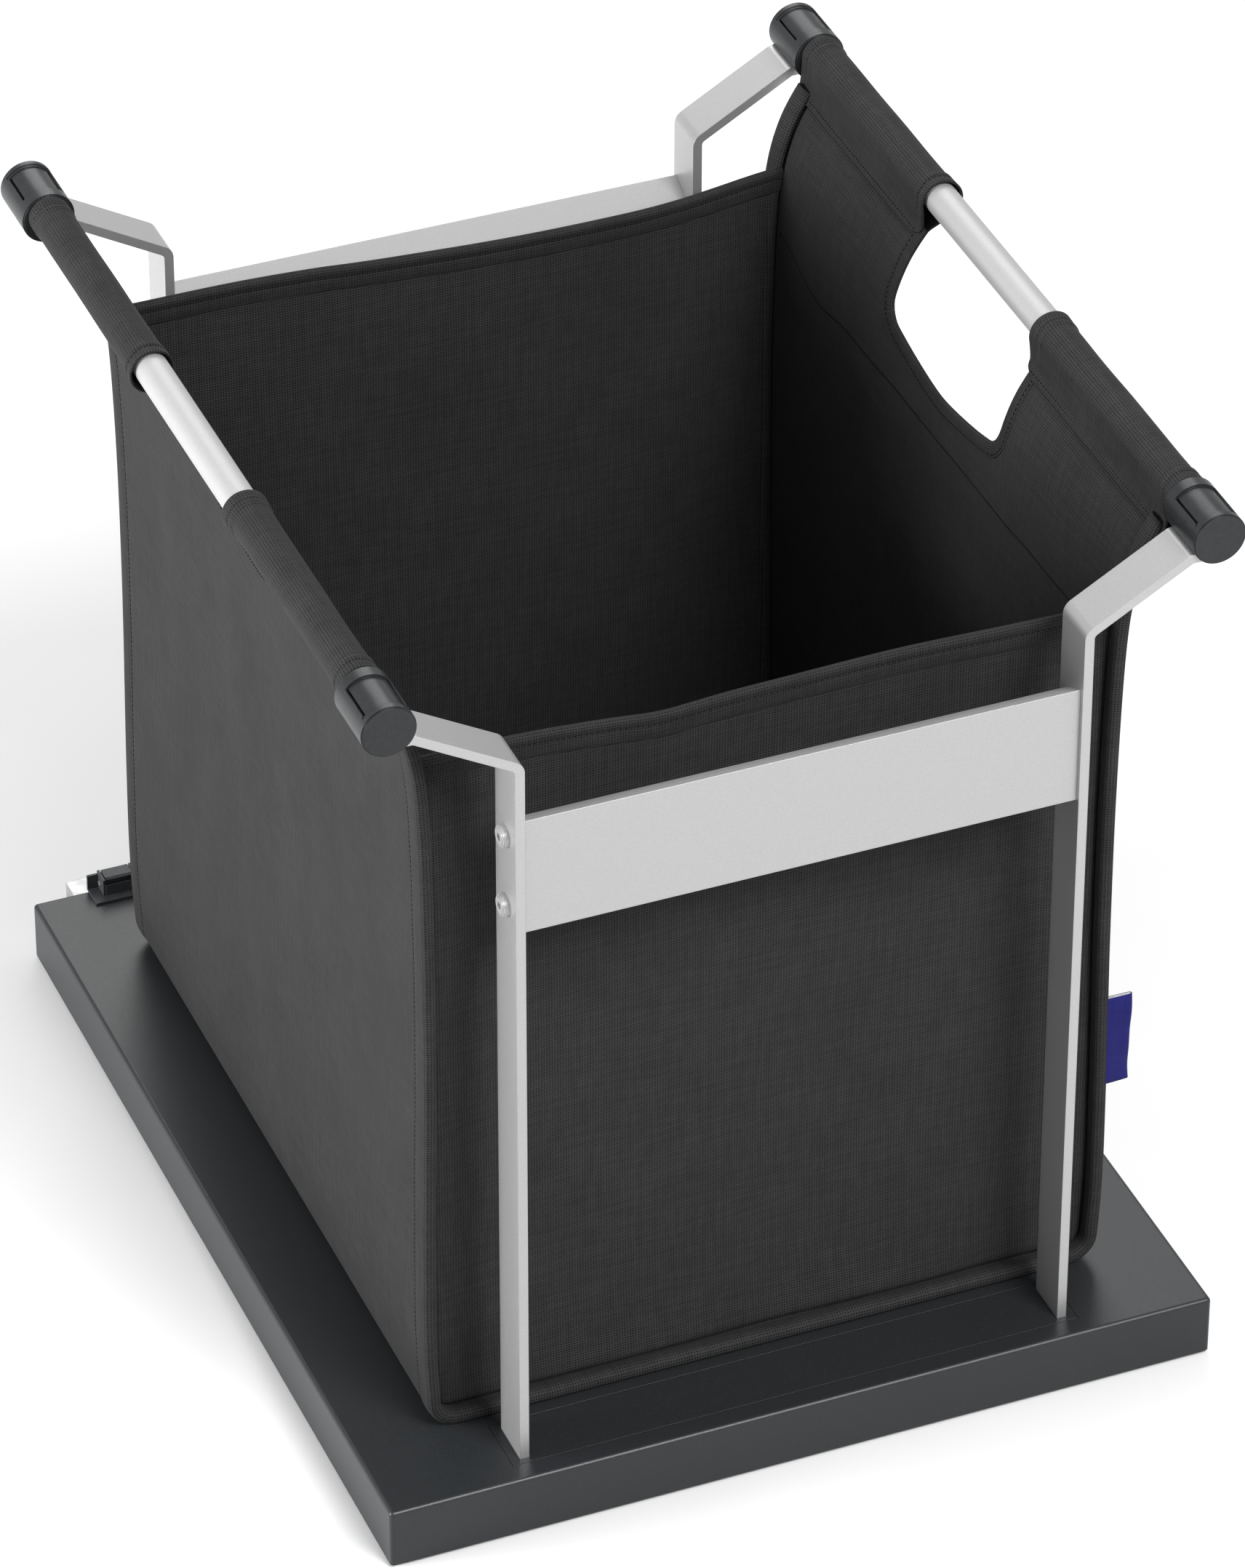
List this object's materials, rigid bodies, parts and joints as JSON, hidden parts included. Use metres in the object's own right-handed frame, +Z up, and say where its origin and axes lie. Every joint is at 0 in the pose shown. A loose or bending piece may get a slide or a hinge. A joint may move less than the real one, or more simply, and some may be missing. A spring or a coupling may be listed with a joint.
{
  "type": "pull-out cabinet organiser",
  "caption": "Pull-out cabinet organiser: a low tray on telescopic runners carries an aluminium frame, and a fabric bag hangs from tubes resting in the frame's arms.",
  "frame": {"origin": "middle of the footprint on the cabinet floor, under the cabinet rails' feet", "axes": "+Z up, +Y back into the cabinet so the front faces -Y, +X to the right seen from the front"},
  "size_m": [0.404, 0.503, 0.4561],
  "materials": {
    "galvanised_steel": "zinc-plated sheet, satin",
    "bright_steel": "bright plated steel",
    "tray_paint": "anthracite powder coat, satin",
    "inlay_plastic": "anthracite, fine satin",
    "frame_aluminium": "matt anodised",
    "tube_aluminium": "satin anodised",
    "cap_plastic": "slate grey, satin",
    "black_plastic": "black, satin",
    "lever_plastic": "dark grey, satin",
    "stop_rubber": "matt",
    "bag_cloth": "charcoal coarse plain weave",
    "rim_cloth": "charcoal plain weave, padded fold",
    "board_plastic": "charcoal, matt",
    "label_cloth": "blue woven ribbon"
  },
  "bodies": {
    "cabinet_rails": {"left_cabinet_rail": "galvanised_steel", "right_cabinet_rail": "galvanised_steel", "rear_tie_plate": "galvanised_steel", "left_end_stop": "stop_rubber", "right_end_stop": "stop_rubber"},
    "left_middle": {"left_middle_rail": "galvanised_steel", "left_outer_cage": "bright_steel", "left_inner_cage": "bright_steel"},
    "right_middle": {"right_middle_rail": "galvanised_steel", "right_outer_cage": "bright_steel", "right_inner_cage": "bright_steel"},
    "carriage": {"left_drawer_rail": "galvanised_steel", "right_drawer_rail": "galvanised_steel", "runner_screws": "bright_steel", "base_tray": "tray_paint", "front_inlay": "inlay_plastic", "rear_inlay": "inlay_plastic", "front_foot_bar": "galvanised_steel", "rear_foot_bar": "galvanised_steel", "foot_screws": "bright_steel", "front_left_post": "frame_aluminium", "front_right_post": "frame_aluminium", "rear_left_post": "frame_aluminium", "rear_right_post": "frame_aluminium", "front_rail": "frame_aluminium", "rear_rail": "frame_aluminium", "front_rail_screws": "bright_steel", "rear_rail_screws": "bright_steel", "left_catch_bracket": "black_plastic", "right_catch_bracket": "black_plastic", "left_catch_pin": "bright_steel", "right_catch_pin": "bright_steel"},
    "left_catch": {"left_catch_lever": "lever_plastic"},
    "right_catch": {"right_catch_lever": "lever_plastic"},
    "bag": {"bag_left_panel": "bag_cloth", "bag_right_panel": "bag_cloth", "bag_front_panel": "bag_cloth", "bag_rear_panel": "bag_cloth", "bag_bottom": "bag_cloth", "bottom_board": "board_plastic", "front_rim": "rim_cloth", "rear_rim": "rim_cloth", "left_front_sleeve": "bag_cloth", "left_rear_sleeve": "bag_cloth", "right_front_sleeve": "bag_cloth", "right_rear_sleeve": "bag_cloth", "left_tube": "tube_aluminium", "right_tube": "tube_aluminium", "front_left_cap": "cap_plastic", "front_right_cap": "cap_plastic", "rear_left_cap": "cap_plastic", "rear_right_cap": "cap_plastic", "label": "label_cloth"}
  },
  "joints": [
    {"name": "pull_out", "type": "slide", "parent": "cabinet_rails", "child": "carriage", "axis": [0, -1, 0], "range_m": [0, 0.44]},
    {"name": "left_middle_slide", "type": "slide", "parent": "cabinet_rails", "child": "left_middle", "axis": [0, -1, 0], "range_m": [0, 0.22]},
    {"name": "right_middle_slide", "type": "slide", "parent": "cabinet_rails", "child": "right_middle", "axis": [0, -1, 0], "range_m": [0, 0.22]},
    {"name": "bag_lift", "type": "slide", "parent": "carriage", "child": "bag", "axis": [0, 0, 1], "range_m": [0, 0.43]},
    {"name": "left_catch_hinge", "type": "hinge", "parent": "carriage", "child": "left_catch", "pos_m": [-0.158, 0.233, 0.0363], "axis": [-1, 0, 0], "range_deg": [0, 70]},
    {"name": "right_catch_hinge", "type": "hinge", "parent": "carriage", "child": "right_catch", "pos_m": [0.158, 0.233, 0.0363], "axis": [-1, 0, 0], "range_deg": [0, 70]}
  ],
  "couplings": [
    {"joint": "left_middle_slide", "follows": "pull_out", "ratio": 0.5},
    {"joint": "right_middle_slide", "follows": "pull_out", "ratio": 0.5}
  ]
}
